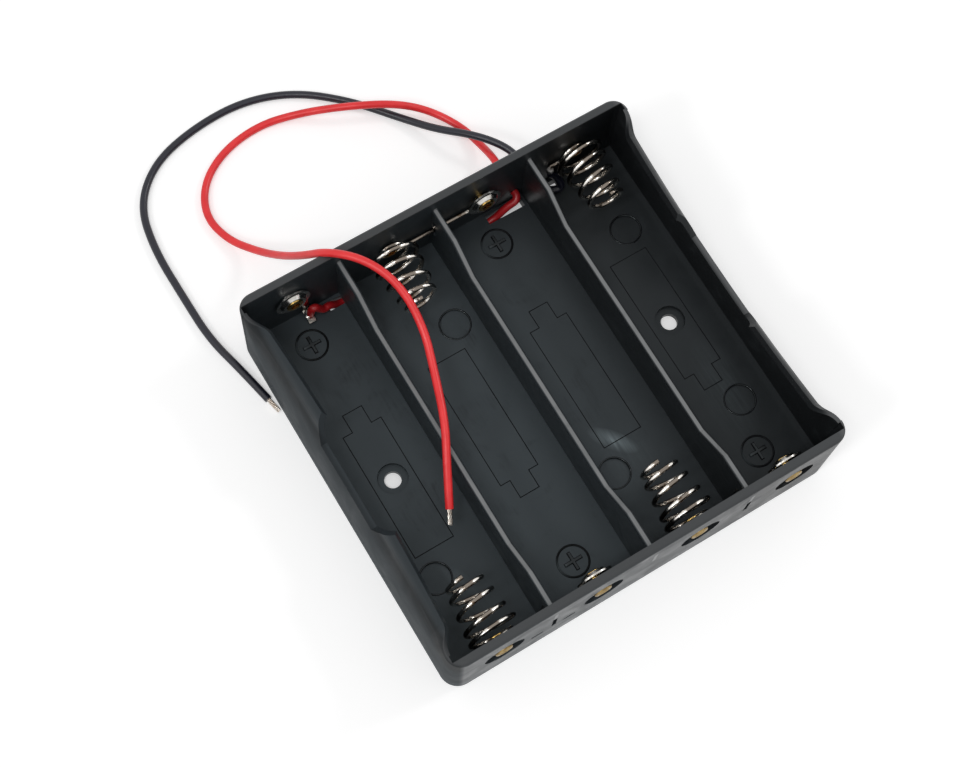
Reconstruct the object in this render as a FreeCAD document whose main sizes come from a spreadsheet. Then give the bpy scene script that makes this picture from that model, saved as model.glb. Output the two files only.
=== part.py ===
"""Open tray for four 18650 cells, wired in series.

Y runs along the cells, X across the slots and Z up.  The origin is the middle
of the underside.  Slot 1 is at low X; its plus contact is on the lead wall
(high Y) and the contacts swap ends from slot to slot.
"""
import FreeCAD
import Part
import math
import os
import Sketcher

Vector = FreeCAD.Vector

DIMENSIONS = [
    ("tray_length", 77.0),
    ("tray_height", 20.4),
    ("outer_draft", 1.5),
    ("corner_radius", 3.5),
    ("rim_round", 0.8),
    ("end_wall", 2.2),
    ("side_wall", 1.1),
    ("floor_thickness", 2.2),
    ("slot_pitch", 20.2),
    ("outer_slot_ease", 0.15),
    ("divider_thickness", 1.3),
    ("divider_height", 13.2),
    ("divider_end_height", 16.8),
    ("divider_step_length", 6.5),
    ("divider_end_length", 7.0),
    ("divider_round", 0.5),
    ("post_length", 3.7),
    ("post_blend_length", 5.0),
    ("post_overlap", 0.2),
    ("post_bend_start", 17.7),
    ("post_bend_angle", 4.0),
    ("post_lip_angle", 18.0),
    ("post_wall", 0.7),
    ("side_inset", 0.03),
    ("bend_start", 9.5),
    ("bend_radius", 32.0),
    ("bend_angle", 16.0),
    ("lip_radius", 4.0),
    ("lip_angle", 42.0),
    ("bow_start_drop", 3.0),
    ("bow_extra_angle", 6.0),
    ("notch_height", 14.4),
    ("notch_length", 17.4),
    ("notch_slope", 4.5),
    ("contact_height", 11.2),
    ("recess_diameter", 8.0),
    ("recess_depth", 1.0),
    ("screw_hole", 3.2),
    ("counterbore", 5.8),
    ("counterbore_depth", 1.0),
    ("pad_diameter", 6.0),
    ("pad_depth", 0.4),
    ("pad_spacing", 39.6),
    ("inner_pad_offset", 4.9),
    ("outer_pad_offset", 2.7),
    ("window_height", 5.4),
    ("window_width", 0.9),
    ("window_drop", 0.5),
    ("window_reach", 1.4),
    ("vent_length", 2.4),
    ("vent_height", 0.8),
    ("vent_depth", 0.6),
    ("vent_offset", 3.3),
    ("vent_drop", 3.6),
    ("red_entry_length", 3.1),
    ("red_exit_length", 7.9),
    ("black_slot_start", 3.6),
    ("black_slot_length", 3.2),
    ("channel_skin", 0.5),
    ("channel_offset", 0.6),
    ("lead_hole_offset", 2.4),
    ("lead_hole_height", 5.0),
    ("lead_diameter", 1.5),
    ("lead_clearance", 0.15),
    ("core_diameter", 0.9),
    ("tip_length", 3.0),
    ("wire_diameter", 0.8),
    ("wire_sides", 8.0),
    ("wire_clearance", 0.1),
    ("spring_base_radius", 4.9),
    ("spring_tip_radius", 3.0),
    ("spring_length", 13.0),
    ("spring_turns", 4.5),
    ("spring_base_height", 1.5),
    ("spring_end_closure", 0.35),
    ("barrel_radius", 1.25),
    ("barrel_wall", 0.3),
    ("rivet_clearance", 0.05),
    ("flange_radius", 1.65),
    ("flange_thickness", 0.25),
    ("tail_radius", 2.0),
    ("cup_radius", 3.5),
    ("cup_thickness", 0.3),
    ("cup_rise", 0.6),
    ("cup_rim", 0.7),
    ("cup_crown", 1.0),
    ("tab_radius", 2.4),
    ("tab_thickness", 0.3),
    ("tab_width", 1.4),
    ("tab_offset", 2.3),
    ("tab_foot", 3.0),
    ("tab_foot_height", 2.9),
    ("solder_radius", 0.75),
    ("solder_wetting", 42.0),
    ("terminal_tail", 5.3),
]

doc = FreeCAD.newDocument("CellHolder")
sheet = doc.addObject("Spreadsheet::Sheet", "Sizes")


class Size:
    """A value together with the sheet formula that gives it."""

    def __init__(self, formula, value):
        self.formula = formula
        self.value = value

    def _join(self, sign, other, value):
        return Size(f"({self.formula} {sign} {as_size(other).formula})", value)

    def __add__(self, other):
        return self._join("+", other, self.value + as_size(other).value)

    def __sub__(self, other):
        return self._join("-", other, self.value - as_size(other).value)

    def __mul__(self, other):
        return self._join("*", other, self.value * as_size(other).value)

    def __truediv__(self, other):
        return self._join("/", other, self.value / as_size(other).value)

    def __neg__(self):
        return self * -1

    def sine(self):
        """Sine of this angle in degrees."""
        return Size(f"sin({self.formula} * 1deg)", math.sin(math.radians(self.value)))

    def cosine(self):
        """Cosine of this angle in degrees."""
        return Size(f"cos({self.formula} * 1deg)", math.cos(math.radians(self.value)))


def as_size(number):
    """Wrap a plain number as a Size."""
    return number if isinstance(number, Size) else Size(f"({number})", float(number))


def fill_sheet():
    """Write the driving dimensions and return them by name."""
    sizes = {}
    for row, (name, value) in enumerate(DIMENSIONS, start=1):
        sheet.set(f"A{row}", name)
        sheet.set(f"B{row}", str(value))
        sheet.setAlias(f"B{row}", name)
        sizes[name] = Size(f"Sizes.{name}", value)
    doc.recompute()
    return sizes


SIZE = fill_sheet()
ZERO = as_size(0)
SLOTS = (1, 2, 3, 4)
DIVIDERS = (1, 2, 3)
WINDOWS = ((1, -1), (2, 1), (3, -1))


def bind(thing, prop, size):
    """Give a property its value and the formula that keeps it."""
    thing.setExpression(prop, as_size(size).formula)


def place(thing, x=ZERO, y=ZERO, z=ZERO, rotation=None):
    """Put an object at bound coordinates, turned as given."""
    turn = rotation if rotation else FreeCAD.Rotation()
    thing.Placement = FreeCAD.Placement(Vector(0, 0, 0), turn)
    for axis, size in (("x", x), ("y", y), ("z", z)):
        bind(thing, f"Placement.Base.{axis}", size)
    return thing


def new_body(name):
    """Start an empty body."""
    return doc.addObject("PartDesign::Body", name)


def new_sketch(body, name, role):
    """Put an empty sketch on one of the body's own origin planes."""
    sketch = body.newObject("Sketcher::SketchObject", name)
    plane = [item for item in body.Origin.OriginFeatures if item.Role == role][0]
    sketch.AttachmentSupport = [(plane, "")]
    sketch.MapMode = "FlatFace"
    return sketch


class Bend:
    """The radius and centre of an arc that leads to the next corner."""

    def __init__(self, x, y, radius, turns_left):
        self.x = as_size(x)
        self.y = as_size(y)
        self.radius = as_size(radius)
        self.turns_left = turns_left


def arc_between(start, end, bend):
    """Arc of a circle from start to end round the bend's centre."""
    centre = Vector(bend.x.value, bend.y.value, 0)
    first = math.atan2(start.y - centre.y, start.x - centre.x)
    last = math.atan2(end.y - centre.y, end.x - centre.x)
    circle = Part.Circle(centre, Vector(0, 0, 1), bend.radius.value)
    if bend.turns_left:
        return Part.ArcOfCircle(circle, first, last), 1, 2
    return Part.ArcOfCircle(circle, last, first), 2, 1


def outline(sketch, corners, bends=None):
    """Draw a closed outline through bound corners, with arcs after some of them."""
    bends = bends or {}
    count = len(corners)
    corners = [(as_size(x), as_size(y)) for x, y in corners]
    points = [Vector(x.value, y.value, 0) for x, y in corners]
    ends = []
    for index in range(count):
        start = points[index]
        end = points[(index + 1) % count]
        if index in bends:
            arc, start_tag, end_tag = arc_between(start, end, bends[index])
            edge = sketch.addGeometry(arc)
        else:
            edge = sketch.addGeometry(Part.LineSegment(start, end))
            start_tag, end_tag = 1, 2
        ends.append((edge, start_tag, end_tag))
    for index in range(count):
        edge, start_tag, _ = ends[index]
        before, _, before_end = ends[index - 1]
        sketch.addConstraint(Sketcher.Constraint("Coincident", before, before_end, edge, start_tag))
        pin(sketch, edge, start_tag, corners[index])
    for index, bend in bends.items():
        rule = sketch.addConstraint(Sketcher.Constraint("Radius", ends[index][0], bend.radius.value))
        bind(sketch, f"Constraints[{rule}]", bend.radius)


def pin(sketch, edge, tag, corner):
    """Hold one point of a sketch at bound coordinates from the origin."""
    for kind, size in (("DistanceX", corner[0]), ("DistanceY", corner[1])):
        rule = sketch.addConstraint(Sketcher.Constraint(kind, -1, 1, edge, tag, size.value))
        bind(sketch, f"Constraints[{rule}]", size)


def round_hole(sketch, x, y, diameter):
    """Draw a bound circle."""
    x, y, diameter = as_size(x), as_size(y), as_size(diameter)
    circle = Part.Circle(Vector(x.value, y.value, 0), Vector(0, 0, 1), diameter.value / 2)
    edge = sketch.addGeometry(circle)
    pin(sketch, edge, 3, (x, y))
    rule = sketch.addConstraint(Sketcher.Constraint("Diameter", edge, diameter.value))
    bind(sketch, f"Constraints[{rule}]", diameter)


def pad(body, sketch, name, length, midplane=False):
    """Raise a sketch into a solid of bound length."""
    doc.recompute()
    feature = body.newObject("PartDesign::Pad", name)
    feature.Profile = sketch
    if midplane:
        feature.SideType = "Symmetric"
    bind(feature, "Length", length)
    return feature


def revolve(body, sketch, name):
    """Spin a sketch a full turn about its upright axis."""
    doc.recompute()
    feature = body.newObject("PartDesign::Revolution", name)
    feature.Profile = sketch
    feature.ReferenceAxis = (sketch, ["V_Axis"])
    feature.Angle = 360
    return feature


def block(name, low, high):
    """Box between two bound corners."""
    box = doc.addObject("Part::Box", name)
    low = [as_size(size) for size in low]
    high = [as_size(size) for size in high]
    for prop, start, end in zip(("Length", "Width", "Height"), low, high):
        bind(box, prop, end - start)
    return place(box, *low)


def rod(name, radius, height, x, y, z, along_y=False):
    """Cylinder that starts at a bound point and runs up, or along +Y."""
    cylinder = doc.addObject("Part::Cylinder", name)
    bind(cylinder, "Radius", radius)
    bind(cylinder, "Height", height)
    turn = FreeCAD.Rotation(Vector(1, 0, 0), -90) if along_y else None
    return place(cylinder, as_size(x), as_size(y), as_size(z), turn)


def join(name, shapes):
    """One solid from several that touch."""
    fused = doc.addObject("Part::MultiFuse", name)
    fused.Shapes = shapes
    fused.Refine = True
    return fused


def remove(name, base, tools):
    """Base with the tools cut away."""
    cutter = tools[0]
    if len(tools) > 1:
        cutter = join(f"{name}Tools", tools)
    cut = doc.addObject("Part::Cut", name)
    cut.Base = base
    cut.Tool = cutter
    cut.Refine = True
    return cut


HALF_LENGTH = SIZE["tray_length"] / 2
TOP = SIZE["tray_height"]
FLOOR = SIZE["floor_thickness"]
PITCH = SIZE["slot_pitch"]
CONTACT = SIZE["contact_height"]
INNER_END = HALF_LENGTH - SIZE["end_wall"]
DIVIDER_HALF = SIZE["divider_thickness"] / 2
HALF_WIDTH = PITCH * 2 - DIVIDER_HALF + SIZE["side_wall"] + SIZE["outer_slot_ease"]
WIRE_RADIUS = SIZE["wire_diameter"] / 2
LEAD_RADIUS = SIZE["lead_diameter"] / 2
DIVIDER_STEP_TOP = INNER_END - SIZE["divider_end_length"]
DIVIDER_STEP_FOOT = DIVIDER_STEP_TOP - SIZE["divider_step_length"]
POST_FACE = HALF_LENGTH - SIZE["post_length"]
EAR_END = POST_FACE - SIZE["post_blend_length"]
PAST = as_size(1)


def slot_middle(slot):
    """X of a slot's centre line."""
    return PITCH * (slot - 2.5)


def divider_middle(divider):
    """X of a divider's mid-plane."""
    return PITCH * (divider - 2)


def plus_end(slot):
    """+1 where the plus contact is on the lead wall, -1 on the other wall."""
    return 1 if slot % 2 else -1


def drafted_block():
    """Outer block with round corners, narrower at the top."""
    body = new_body("OuterBlock")
    sketch = new_sketch(body, "OuterOutline", "XY_Plane")
    radius = SIZE["corner_radius"]
    x_in = HALF_WIDTH - radius
    y_in = HALF_LENGTH - radius
    corners = [
        (-x_in, -HALF_LENGTH), (x_in, -HALF_LENGTH), (HALF_WIDTH, -y_in), (HALF_WIDTH, y_in),
        (x_in, HALF_LENGTH), (-x_in, HALF_LENGTH), (-HALF_WIDTH, y_in), (-HALF_WIDTH, -y_in),
    ]
    bends = {
        1: Bend(x_in, -y_in, radius, True),
        3: Bend(x_in, y_in, radius, True),
        5: Bend(-x_in, y_in, radius, True),
        7: Bend(-x_in, -y_in, radius, True),
    }
    outline(sketch, corners, bends)
    raised = pad(body, sketch, "OuterRise", TOP)
    bind(raised, "TaperAngle", -SIZE["outer_draft"])
    doc.recompute()
    rounding = body.newObject("PartDesign::Fillet", "RimRound")
    rounding.Base = (raised, top_face_names(raised.Shape))
    bind(rounding, "Radius", SIZE["rim_round"])
    return body


def top_face_names(shape):
    """Names of the faces at the top of a shape."""
    highest = shape.BoundBox.ZMax
    names = []
    for index, face in enumerate(shape.Faces, start=1):
        if face.BoundBox.ZMin > highest - 1e-4:
            names.append(f"Face{index}")
    return names


def ear_shape():
    """Section of the curled side wall: where it starts to bend, both angles and its thickness."""
    return (SIZE["bend_start"], SIZE["bend_angle"], SIZE["lip_angle"], SIZE["side_wall"])


def middle_shape():
    """Section half way along the side wall, which bows inwards there."""
    drop = SIZE["bow_start_drop"]
    extra = SIZE["bow_extra_angle"]
    return (SIZE["bend_start"] - drop, SIZE["bend_angle"] + extra,
            SIZE["lip_angle"] - extra, SIZE["side_wall"])


def post_shape():
    """Section of the nearly upright wall where it meets a corner post."""
    return (SIZE["post_bend_start"], SIZE["post_bend_angle"],
            SIZE["post_lip_angle"], SIZE["post_wall"])


def blended_shape(share):
    """Section part of the way from the ear to the post, eased at both ends."""
    weight = share * share * (3 - 2 * share)
    return tuple(ear + (post - ear) * weight for ear, post in zip(ear_shape(), post_shape()))


def side_section(body, name, y, shape):
    """Sketch of the side wall's section at one distance along the tray."""
    sketch = new_sketch(body, name, "XZ_Plane")
    sketch.AttachmentOffset = FreeCAD.Placement(Vector(0, 0, -as_size(y).value), FreeCAD.Rotation())
    bind(sketch, "AttachmentOffset.Base.z", -as_size(y))
    start, lean, lip_angle, wall = shape
    draft = SIZE["outer_draft"]
    bend = SIZE["bend_radius"]
    lip = SIZE["lip_radius"]
    full = lean + lip_angle
    foot = FLOOR / 2
    slope = draft.sine() / draft.cosine()
    face = HALF_WIDTH - SIZE["side_inset"]
    top_x = face - start * slope
    bend_x = top_x - bend * draft.cosine()
    bend_z = start - bend * draft.sine()
    lip_x = bend_x + (bend - lip) * lean.cosine()
    lip_z = bend_z + (bend - lip) * lean.sine()
    inner = bend - wall
    corners = [
        (HALF_WIDTH - SIZE["side_wall"], foot),
        (face - foot * slope, foot),
        (top_x, start),
        (bend_x + bend * lean.cosine(), bend_z + bend * lean.sine()),
        (lip_x + lip * full.cosine(), lip_z + lip * full.sine()),
        (lip_x + (lip - wall) * full.cosine(), lip_z + (lip - wall) * full.sine()),
        (bend_x + inner * lean.cosine(), bend_z + inner * lean.sine()),
        (bend_x + inner * draft.cosine(), bend_z + inner * draft.sine()),
    ]
    bends = {
        2: Bend(bend_x, bend_z, bend, True),
        3: Bend(lip_x, lip_z, lip, True),
        5: Bend(lip_x, lip_z, lip - wall, False),
        6: Bend(bend_x, bend_z, inner, False),
    }
    outline(sketch, corners, bends)
    return sketch


def loft(body, name, sketches):
    """Smooth solid through a row of sections."""
    doc.recompute()
    feature = body.newObject("PartDesign::AdditiveLoft", name)
    feature.Profile = sketches[0]
    feature.Sections = sketches[1:]
    feature.Ruled = False
    return feature


def sprung_side():
    """Side wall between the blends: upright foot, long inward bend, a lip and the finger notch."""
    body = new_body("SprungSide")
    rows = [(-EAR_END, ear_shape()), (ZERO, middle_shape()), (EAR_END, ear_shape())]
    sketches = [side_section(body, f"SideSection{number}", y, shape)
                for number, (y, shape) in enumerate(rows, start=1)]
    loft(body, "SideSweep", sketches)
    notch = new_sketch(body, "NotchOutline", "YZ_Plane")
    low = SIZE["notch_height"]
    half = SIZE["notch_length"] / 2
    wide = half + SIZE["notch_slope"]
    outline(notch, [(-half, low), (half, low), (wide, TOP), (-wide, TOP)])
    doc.recompute()
    cut = body.newObject("PartDesign::Pocket", "FingerNotch")
    cut.Profile = notch
    cut.SideType = "Symmetric"
    bind(cut, "Length", HALF_WIDTH * 4)
    return body


def side_blend():
    """The side wall's turn from its curled ear to the upright corner post."""
    body = new_body("SideBlend")
    sketches = []
    for step in range(5):
        share = step / 4
        y = EAR_END + (SIZE["post_blend_length"] + SIZE["post_overlap"]) * share
        sketches.append(side_section(body, f"BlendSection{step}", y, blended_shape(share)))
    loft(body, "BlendSweep", sketches)
    return body


def mirrored(name, source, normal):
    """The same shape on the other side of a middle plane."""
    mirror = doc.addObject("Part::Mirroring", name)
    mirror.Source = source
    mirror.Normal = normal
    mirror.Base = Vector(0, 0, 0)
    return mirror


def side_walls():
    """Both side walls with their blends into the four corner posts."""
    across = Vector(1, 0, 0)
    along = Vector(0, 1, 0)
    side = sprung_side()
    far = side_blend()
    near = mirrored("SideBlendNear", far, along)
    right = [side, far, near]
    left = [mirrored(f"{tag}Left", part, across)
            for tag, part in zip(("SprungSide", "SideBlendFar", "SideBlendNear"), right)]
    return right + left


def divider_wall(divider):
    """Thin divider that steps up towards both end walls, with a rounded ridge."""
    body = new_body(f"DividerWall{divider}")
    sketch = new_sketch(body, f"DividerOutline{divider}", "YZ_Plane")
    low = SIZE["divider_height"]
    high = SIZE["divider_end_height"]
    foot = FLOOR / 2
    reach = INNER_END + SIZE["end_wall"] / 2
    corners = [
        (-reach, foot), (reach, foot), (reach, high), (DIVIDER_STEP_TOP, high),
        (DIVIDER_STEP_FOOT, low), (-DIVIDER_STEP_FOOT, low), (-DIVIDER_STEP_TOP, high),
        (-reach, high),
    ]
    outline(sketch, corners)
    wall = pad(body, sketch, f"DividerThickness{divider}", SIZE["divider_thickness"], midplane=True)
    doc.recompute()
    ridge = []
    for index, edge in enumerate(wall.Shape.Edges, start=1):
        box = edge.BoundBox
        if box.XMax - box.XMin < 1e-4 and box.YMax - box.YMin > 1 and box.ZMin > FLOOR.value:
            ridge.append(f"Edge{index}")
    rounding = body.newObject("PartDesign::Fillet", f"DividerRidge{divider}")
    rounding.Base = (wall, ridge)
    bind(rounding, "Radius", SIZE["divider_round"])
    place(body, divider_middle(divider))
    return body


def tray():
    """The whole black moulding: walls, floor, dividers, holes and recesses."""
    shell = drafted_block()
    side_face = HALF_WIDTH - SIZE["side_wall"]
    cavity = block("Cavity", (-side_face, -INNER_END, FLOOR), (side_face, INNER_END, TOP + PAST))
    side_cuts = [
        block("SideCutRight", (side_face - PAST, -POST_FACE, FLOOR),
              (HALF_WIDTH + PAST, POST_FACE, TOP + PAST)),
        block("SideCutLeft", (-(HALF_WIDTH + PAST), -POST_FACE, FLOOR),
              (PAST - side_face, POST_FACE, TOP + PAST)),
    ]
    basin = remove("Basin", shell, [cavity] + side_cuts)
    dividers = [divider_wall(divider) for divider in DIVIDERS]
    moulded = join("Moulded", [basin] + side_walls() + dividers)
    cuts = contact_cuts() + floor_cuts() + lead_cuts() + window_cuts()
    finished = remove("tray", moulded, cuts)
    return finished


def contact_cuts():
    """Rivet hole and outside recess of each of the eight contacts."""
    hole = SIZE["barrel_radius"] + SIZE["rivet_clearance"]
    wall = SIZE["end_wall"]
    tools = []
    for slot in SLOTS:
        middle = slot_middle(slot)
        for end, tag in ((1, "Far"), (-1, "Near")):
            inside = INNER_END - PAST if end > 0 else -(HALF_LENGTH + PAST)
            seat = HALF_LENGTH - SIZE["recess_depth"] if end > 0 else -(HALF_LENGTH + PAST)
            tools.append(rod(f"RivetHole{tag}{slot}", hole, wall + PAST * 2,
                             middle, inside, CONTACT, along_y=True))
            tools.append(rod(f"Recess{tag}{slot}", SIZE["recess_diameter"] / 2,
                             SIZE["recess_depth"] + PAST, middle, seat, CONTACT, along_y=True))
    return tools


def floor_cuts():
    """Screw holes with counterbores, ejector pads and the slots beside the middle divider."""
    tools = []
    for slot in (1, 4):
        middle = slot_middle(slot)
        tools.append(rod(f"ScrewHole{slot}", SIZE["screw_hole"] / 2, FLOOR + PAST * 2,
                         middle, ZERO, -PAST))
        tools.append(rod(f"Counterbore{slot}", SIZE["counterbore"] / 2, PAST + SIZE["counterbore_depth"],
                         middle, ZERO, FLOOR - SIZE["counterbore_depth"]))
    half = SIZE["pad_spacing"] / 2
    inner = SIZE["inner_pad_offset"]
    outer = SIZE["outer_pad_offset"]
    spots = [
        (slot_middle(1) - outer, -half),
        (slot_middle(2) + inner, half), (slot_middle(3) - inner, -half),
        (slot_middle(4) + outer, half), (slot_middle(4) + outer, -half),
    ]
    for number, (x, y) in enumerate(spots, start=1):
        tools.append(rod(f"Pad{number}", SIZE["pad_diameter"] / 2, PAST, x, y, FLOOR - SIZE["pad_depth"]))
    return tools


def lead_cuts():
    """Holes where both leads leave, floor slots beside them and the red lead's channel underneath."""
    bore = LEAD_RADIUS + SIZE["lead_clearance"]
    near = channel_middle() - channel_width() / 2
    far = channel_middle() + channel_width() / 2
    tools = []
    for side, tag in ((-1, "Red"), (1, "Black")):
        tools.append(rod(f"LeadHole{tag}", bore, SIZE["end_wall"] + PAST * 2,
                         divider_middle(3) + SIZE["lead_hole_offset"] * side, INNER_END - PAST,
                         SIZE["lead_hole_height"], along_y=True))
    entry_end = divider_middle(1) - DIVIDER_HALF
    entry_start = entry_end - SIZE["red_entry_length"]
    exit_end = divider_middle(3) - DIVIDER_HALF * 2
    exit_start = exit_end - SIZE["red_exit_length"]
    black_start = divider_middle(3) + SIZE["black_slot_start"]
    for tag, low, high in (("RedEntry", entry_start, entry_end), ("RedExit", exit_start, exit_end),
                           ("Black", black_start, black_start + SIZE["black_slot_length"])):
        tools.append(block(f"FloorSlot{tag}", (low, near, -PAST), (high, far, FLOOR + PAST)))
    tools.append(block("LeadChannel", (entry_start, near, -PAST),
                       (exit_end, far, FLOOR - SIZE["channel_skin"])))
    return tools


def channel_width():
    """Width of the lead channel and of the floor slots."""
    return SIZE["lead_diameter"] + SIZE["lead_clearance"] * 2


def channel_middle():
    """Y of the middle of the lead channel, beside the foot of the lead wall."""
    return INNER_END - SIZE["channel_offset"] - channel_width() / 2


def window_cuts():
    """Windows through wall and divider for the spring tails, and two shallow vents."""
    tools = []
    thin = SIZE["window_width"] / 2
    wide = DIVIDER_HALF + PAST
    middle_z = CONTACT - SIZE["window_drop"]
    low_z = middle_z - SIZE["window_height"] / 2
    high_z = middle_z + SIZE["window_height"] / 2
    for divider, end in WINDOWS:
        x = divider_middle(divider)
        reach = INNER_END - SIZE["window_reach"]
        past = HALF_LENGTH + PAST
        low, high = (INNER_END, past) if end > 0 else (-past, -INNER_END)
        tools.append(block(f"Window{divider}", (x - thin, low, low_z), (x + thin, high, high_z)))
        low, high = (reach, INNER_END) if end > 0 else (-INNER_END, -reach)
        tools.append(block(f"TailGap{divider}", (x - wide, low, low_z), (x + wide, high, high_z)))
    x = divider_middle(1)
    half = SIZE["vent_length"] / 2
    z = CONTACT - SIZE["vent_drop"] - SIZE["vent_height"] / 2
    for side, tag in ((-1, "Left"), (1, "Right")):
        centre = x + SIZE["vent_offset"] * side
        tools.append(block(f"Vent{tag}", (centre - half, -(HALF_LENGTH + PAST), z),
                           (centre + half, SIZE["vent_depth"] - HALF_LENGTH, z + SIZE["vent_height"])))
    return tools


def tail_height():
    """Height at which a spring's straight tail runs, just below the rivet barrels."""
    return CONTACT - loop_radius()


def loop_radius():
    """Middle radius of the wire loop round a rivet barrel."""
    return SIZE["barrel_radius"] + SIZE["wire_clearance"] + WIRE_RADIUS


def contact_place(thing, slot, end):
    """Set a piece drawn on the inner face of the near wall into its slot and end."""
    turn = FreeCAD.Rotation(Vector(0, 0, 1), 180 if end > 0 else 0)
    y = INNER_END if end > 0 else -INNER_END
    place(thing, slot_middle(slot), y, CONTACT, turn)
    return thing


def wire_seat():
    """Height above the wall of what sits on the spring wire."""
    return SIZE["wire_diameter"] + SIZE["wire_clearance"] * 2


def tab_seat():
    """Height above the wall of what sits on a solder tab."""
    return SIZE["tab_thickness"] + SIZE["rivet_clearance"]


def cup_seat(slot):
    """Height above the wall of a plus cup: on a tab in slot 1, on a wire elsewhere."""
    return tab_seat() if slot == 1 else wire_seat()


def plus_cup(slot):
    """Dished washer with a flat rim and a raised crown."""
    name = f"plus_cup_{slot}"
    body = new_body(name)
    sketch = new_sketch(body, f"{name}_section", "XY_Plane")
    seat = cup_seat(slot)
    thick = SIZE["cup_thickness"]
    rise = SIZE["cup_rise"]
    hole = SIZE["barrel_radius"] + SIZE["rivet_clearance"]
    rim = SIZE["cup_radius"] - SIZE["cup_rim"]
    crown = hole + SIZE["cup_crown"]
    corners = [
        (hole, seat + rise), (crown, seat + rise), (rim, seat), (SIZE["cup_radius"], seat),
        (SIZE["cup_radius"], seat + thick), (rim, seat + thick), (crown, seat + rise + thick),
        (hole, seat + rise + thick),
    ]
    outline(sketch, corners)
    revolve(body, sketch, f"{name}_turn")
    return contact_place(body, slot, plus_end(slot))


def eyelet(name, slot, end, seat):
    """Tubular rivet: flange inside the slot, barrel through the wall, spread tail outside."""
    body = new_body(name)
    sketch = new_sketch(body, f"{name}_section", "XY_Plane")
    outer = SIZE["barrel_radius"]
    bore = outer - SIZE["barrel_wall"]
    thick = SIZE["flange_thickness"]
    flange = SIZE["flange_radius"]
    tail = SIZE["tail_radius"]
    outside = -(SIZE["end_wall"] - SIZE["recess_depth"])
    corners = [
        (bore, outside - thick), (tail, outside - thick), (tail, outside), (outer, outside),
        (outer, seat), (flange, seat), (flange, seat + thick * 0.5), (flange - thick, seat + thick),
        (bore, seat + thick),
    ]
    outline(sketch, corners)
    revolve(body, sketch, f"{name}_turn")
    return contact_place(body, slot, end)


def spring_path(slot):
    """Half-turn end points of a spring: its tail loop, its base coil and its coils to the tip.

    Each point is (height above the slot's axis, distance from the wall).
    """
    wall_gap = (WIRE_RADIUS + SIZE["wire_clearance"]).value
    loop = loop_radius().value
    turns = int(round(SIZE["spring_turns"].value * 2))
    base = SIZE["spring_base_radius"].value
    tip = SIZE["spring_tip_radius"].value
    length = SIZE["spring_length"].value
    first = SIZE["spring_base_height"].value
    last = length - WIRE_RADIUS.value
    points = [(-loop, wall_gap), (loop, wall_gap), (-0.9 * base, first)]
    for step in range(1, turns + 1):
        share = step / turns
        radius = base + (tip - base) * share
        side = 1 if step % 2 else -1
        climb = share - SIZE["spring_end_closure"].value * math.sin(2 * math.pi * share) / (2 * math.pi)
        points.append((side * radius, first + (last - first) * climb))
    return points


def wire_face(centre, direction, across):
    """Many-sided cut through the wire with the area of the round one."""
    sides = int(round(SIZE["wire_sides"].value))
    equal_area = math.sqrt(2 * math.pi / (sides * math.sin(2 * math.pi / sides)))
    radius = WIRE_RADIUS.value * equal_area
    other = direction.cross(across)
    ring = []
    for index in range(sides):
        angle = 2 * math.pi * (index + 0.5) / sides
        ring.append(centre + across * (radius * math.cos(angle)) + other * (radius * math.sin(angle)))
    ring.append(ring[0])
    return Part.Face(Part.makePolygon(ring))


def coil_spring(slot):
    """Conical spring of half turns whose tail runs on to the next contact."""
    name = f"spring_{slot}"
    side = -plus_end(slot)
    hand = -1 if slot == 2 else 1
    points = [Vector(0, y, z) for z, y in spring_path(slot)]
    pieces = []
    direction = -hand
    for start, end in zip(points, points[1:]):
        middle = (start + end) * 0.5
        heading = Vector(direction, 0, 0)
        across = (start - middle)
        across.normalize()
        axis = across.cross(heading)
        face = wire_face(start, heading, across)
        pieces.append(face.revolve(middle, axis, 180))
        direction = -direction
    heading = Vector(hand, 0, 0)
    reach = tail_reach(slot)
    face = wire_face(points[0], heading, Vector(0, 0, 1))
    pieces.append(face.extrude(heading * reach))
    if slot != 4:
        pieces.append(tail_loop(points[0], heading, reach))
    shape = pieces[0].multiFuse(pieces[1:])
    spring = doc.addObject("Part::Feature", name)
    spring.Shape = shape.Solids[0] if len(shape.Solids) == 1 else shape
    turn = FreeCAD.Rotation(Vector(0, 0, 1), 180 if side > 0 else 0)
    y = INNER_END if side > 0 else -INNER_END
    place(spring, slot_middle(slot), y, CONTACT, turn)
    return spring


def tail_reach(slot):
    """Length of the straight tail: one pitch to the next contact, or a short end for the lead."""
    if slot == 4:
        return SIZE["terminal_tail"].value
    return PITCH.value


def tail_loop(start, heading, reach):
    """Half loop that closes the tail round the neighbour's rivet."""
    foot = start + heading * reach
    centre = Vector(foot.x, foot.y, 0)
    face = wire_face(foot, heading, Vector(0, 0, -1))
    return face.revolve(centre, Vector(0, 0, -1).cross(heading), 180)


def solder_tab():
    """Nickelled tab under the plus cup of slot 1, with a tail down to a soldered foot."""
    ring = rod("TabRing", SIZE["tab_radius"], SIZE["tab_thickness"],
               slot_middle(1), INNER_END - SIZE["tab_thickness"], CONTACT, along_y=True)
    x = slot_middle(1) + SIZE["tab_offset"]
    half = SIZE["tab_width"] / 2
    thick = SIZE["tab_thickness"]
    foot = SIZE["tab_foot_height"]
    leg = block("TabLeg", (x - half, INNER_END - thick, foot), (x + half, INNER_END, CONTACT))
    toe = block("TabToe", (x - half, INNER_END - SIZE["tab_foot"], foot), (x + half, INNER_END, foot + thick))
    bore = rod("TabBore", SIZE["barrel_radius"] + SIZE["rivet_clearance"], thick * 3,
               slot_middle(1), INNER_END - thick * 2, CONTACT, along_y=True)
    return remove("plus_tab", join("TabBlank", [ring, leg, toe]), [bore])


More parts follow.
